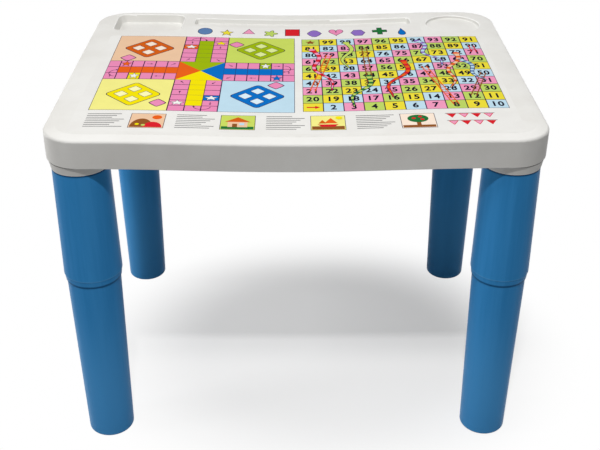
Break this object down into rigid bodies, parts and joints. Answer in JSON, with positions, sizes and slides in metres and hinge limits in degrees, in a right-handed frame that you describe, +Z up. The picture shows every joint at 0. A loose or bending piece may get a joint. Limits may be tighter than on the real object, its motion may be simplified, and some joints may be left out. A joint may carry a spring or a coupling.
{
  "type": "activity table",
  "caption": "Low moulded children's table with a printed game top, pen tray, eraser well and cup recess, on round push-fit legs that pull apart.",
  "frame": {"origin": "on the floor, under the middle of the top", "axes": "+X along the width to the right of someone at the front, +Y to the back where the wells are, +Z up"},
  "size_m": [0.6, 0.475, 0.455],
  "materials": {
    "white_plastic": "satin injection-moulded polypropylene",
    "blue_plastic": "semi-gloss injection-moulded polypropylene",
    "print_film": "printed film, satin, with coloured game boards"
  },
  "bodies": {
    "tabletop": {"tabletop": "white_plastic", "printed_film": "print_film"},
    "upper_leg_front_left": {"upper_leg_front_left": "blue_plastic"},
    "lower_leg_front_left": {"lower_leg_front_left": "blue_plastic"},
    "upper_leg_front_right": {"upper_leg_front_right": "blue_plastic"},
    "lower_leg_front_right": {"lower_leg_front_right": "blue_plastic"},
    "upper_leg_back_left": {"upper_leg_back_left": "blue_plastic"},
    "lower_leg_back_left": {"lower_leg_back_left": "blue_plastic"},
    "upper_leg_back_right": {"upper_leg_back_right": "blue_plastic"},
    "lower_leg_back_right": {"lower_leg_back_right": "blue_plastic"}
  },
  "joints": [
    {"name": "upper_leg_front_left_pull", "type": "slide", "parent": "tabletop", "child": "upper_leg_front_left", "axis": [0, 0, -1], "range_m": [0, 0.04]},
    {"name": "lower_leg_front_left_pull", "type": "slide", "parent": "upper_leg_front_left", "child": "lower_leg_front_left", "axis": [0, 0, -1], "range_m": [0, 0.06]},
    {"name": "upper_leg_front_right_pull", "type": "slide", "parent": "tabletop", "child": "upper_leg_front_right", "axis": [0, 0, -1], "range_m": [0, 0.04]},
    {"name": "lower_leg_front_right_pull", "type": "slide", "parent": "upper_leg_front_right", "child": "lower_leg_front_right", "axis": [0, 0, -1], "range_m": [0, 0.06]},
    {"name": "upper_leg_back_left_pull", "type": "slide", "parent": "tabletop", "child": "upper_leg_back_left", "axis": [0, 0, -1], "range_m": [0, 0.04]},
    {"name": "lower_leg_back_left_pull", "type": "slide", "parent": "upper_leg_back_left", "child": "lower_leg_back_left", "axis": [0, 0, -1], "range_m": [0, 0.06]},
    {"name": "upper_leg_back_right_pull", "type": "slide", "parent": "tabletop", "child": "upper_leg_back_right", "axis": [0, 0, -1], "range_m": [0, 0.04]},
    {"name": "lower_leg_back_right_pull", "type": "slide", "parent": "upper_leg_back_right", "child": "lower_leg_back_right", "axis": [0, 0, -1], "range_m": [0, 0.06]}
  ]
}
